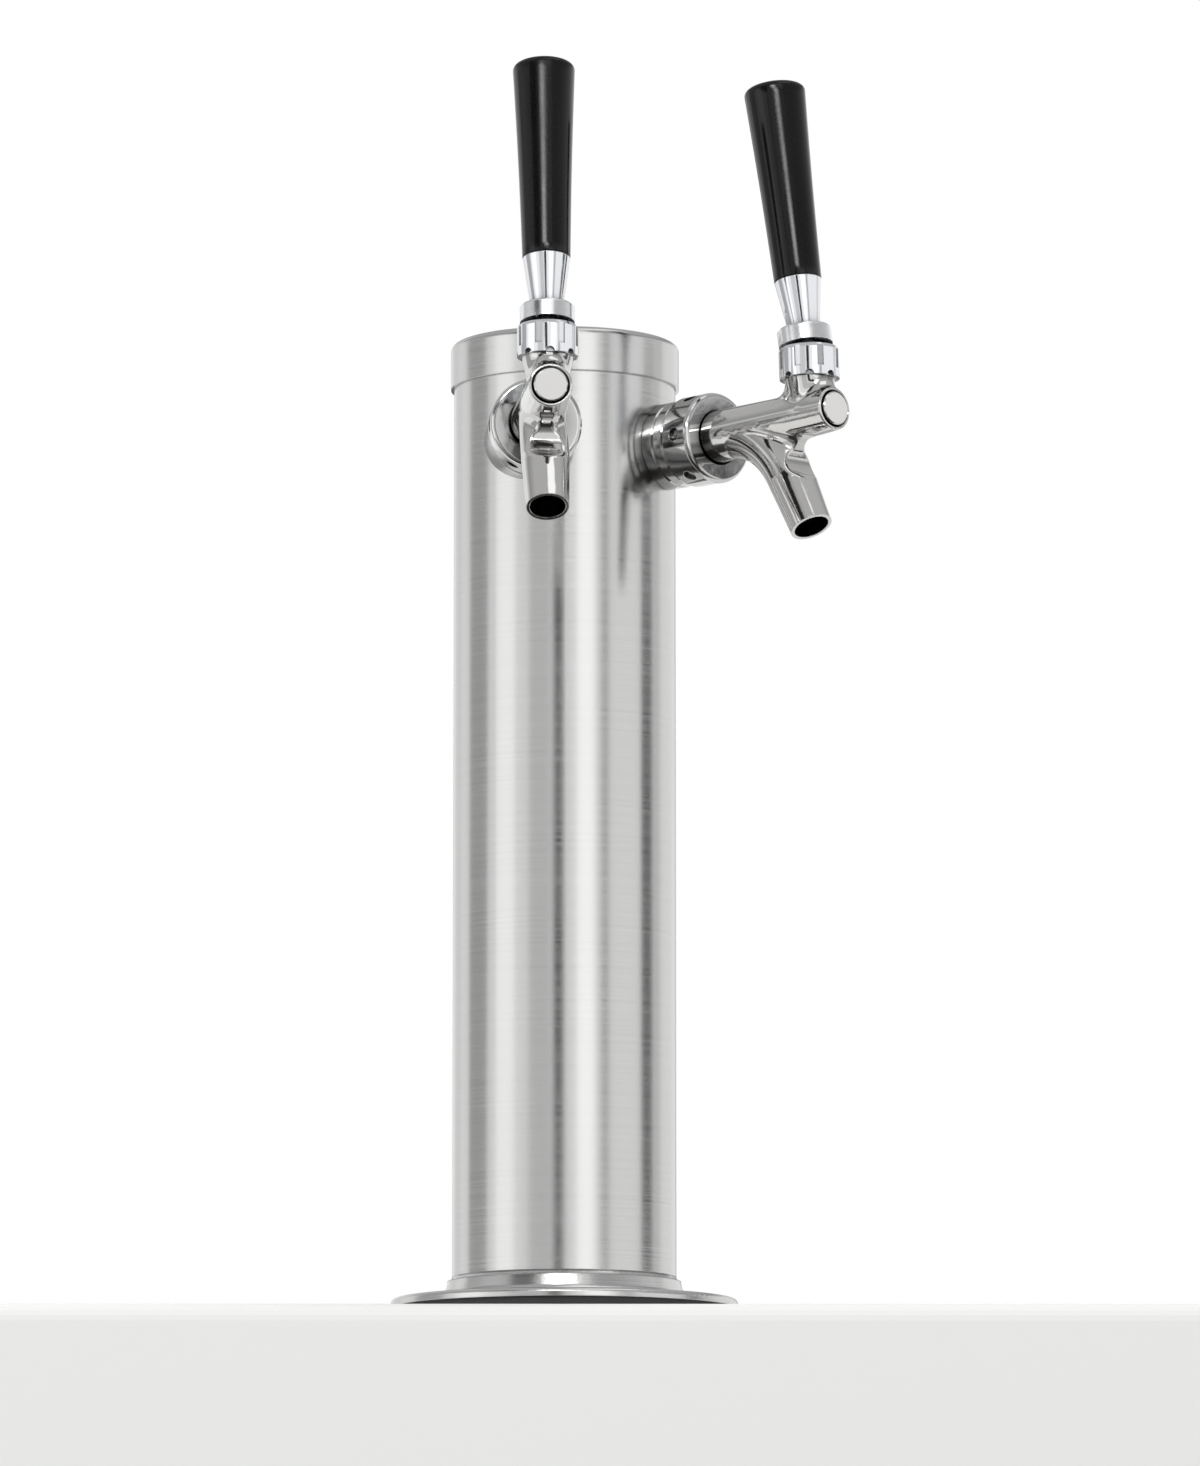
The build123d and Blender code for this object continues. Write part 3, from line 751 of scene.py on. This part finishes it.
def finished(bm, name, body, material, sharp=40):
    """Close a bmesh's seams, point its faces outward and make it a piece on a body."""
    bmesh.ops.remove_doubles(bm, verts=bm.verts, dist=0.000002)
    bmesh.ops.recalc_face_normals(bm, faces=bm.faces)
    for face in bm.faces:
        face.smooth = True
    mesh = bpy.data.meshes.new(name)
    bm.to_mesh(mesh)
    bm.free()
    mesh.set_sharp_from_angle(angle=radians(sharp))
    mesh.materials.append(material)
    piece = bpy.data.objects.new(name, mesh)
    scene.collection.objects.link(piece)
    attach(piece, body)
    return piece


def lathe(bm, profile, steps):
    """Spin points of radius and height about the upright axis."""
    ring_of = [bm.verts.new((radius, 0, height)) for radius, height in profile]
    line = [bm.edges.new(pair) for pair in zip(ring_of, ring_of[1:])]
    bmesh.ops.spin(
        bm,
        geom=ring_of + line,
        cent=(0, 0, 0),
        axis=(0, 0, 1),
        angle=2 * pi,
        steps=steps,
        use_merge=True,
    )
    bmesh.ops.remove_doubles(bm, verts=bm.verts, dist=0.000002)
    return bm


def corner_arc(radius, height, turn_radius, start, stop, steps):
    """Points round a corner whose centre is at this radius and height."""
    points = []
    for step in range(steps + 1):
        angle = radians(start + (stop - start) * step / steps)
        points.append((radius + turn_radius * cos(angle), height + turn_radius * sin(angle)))
    return points


print("lathe ready")

# %% [markdown]
# ## The grips
# Each grip is a plain tapered pull: narrow where it meets the chrome ferrule and wider at the top,
# with a rounded shoulder and a slightly crowned end.  The CAD solid is a straight cone.  Spinning a
# profile gives the real one's faint flare, its rolled lower edge and the small dimple in the crown
# where the moulding was fed.

# %% Pull grips
grip_foot, grip_top = 0.0334, 0.1030
foot_radius, top_radius = 0.00805, 0.0104
shoulder = 0.0021


def grip_profile():
    points = [(0.0, grip_foot), (foot_radius - 0.0006, grip_foot)]
    points += corner_arc(foot_radius - 0.0006, grip_foot + 0.0006, 0.0006, -90, 0, 4)
    for step in range(1, 24):
        share = step / 24
        height = grip_foot + 0.0006 + (grip_top - shoulder - grip_foot - 0.0006) * share
        straight = foot_radius + (top_radius - foot_radius) * share
        points.append((straight - 0.00022 * sin(pi * share), height))
    points += corner_arc(top_radius - shoulder, grip_top - shoulder - 0.0003, shoulder, 0, 78, 8)
    points += [(0.006, grip_top - 0.00012), (0.0022, grip_top), (0.0017, grip_top - 0.0001)]
    return points + [(0.0012, grip_top - 0.0004), (0.0, grip_top - 0.00045)]


for name, side in sides.items():
    bm = lathe(bmesh.new(), grip_profile(), 96)
    bmesh.ops.transform(bm, matrix=lever_frame(side), verts=bm.verts)
    grip = finished(bm, f"{name}_pull_grip", f"{name}_lever", grip_black)
    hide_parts(f"{name}_handle_grip")
    print(grip.name, len(grip.data.polygons), "faces")

# %% [markdown]
# ## The weld at the foot
# The column stands in the flange's raised hub, and a welder ran a bead round the joint before it
# was polished.  It could be a bump in the material, but it changes the outline of the foot, so it
# is modelled: a small hollow fillet spun round the column, with the ripples of the weld pool.

# %% Foot weld
hub_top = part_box("base_flange")[1][2]
bead = 0.0016
weld_steps = 240
weld_profile = corner_arc(column_radius + bead + 0.00002, hub_top + bead, bead, 180, 270, 5)
weld_profile = [(column_radius + 0.00002, hub_top + 0.00002)] + weld_profile
weld_profile.append(weld_profile[0])
bm = lathe(bmesh.new(), weld_profile, weld_steps)
for v in bm.verts:
    out = Vector((v.co.x, v.co.y, 0)).length - column_radius
    turn = Vector((v.co.x, v.co.y)).angle_signed(Vector((1, 0)))
    ripple = 0.00012 * sin(96 * turn) + 0.00005 * sin(29 * turn + 1)
    if 0.0001 < out < bead * 0.95 and v.co.z > hub_top + 0.0001:
        v.co.z += ripple
weld = finished(bm, "foot_weld", "tower", flange_steel, 60)
print(weld.name, len(weld.data.polygons), "faces")
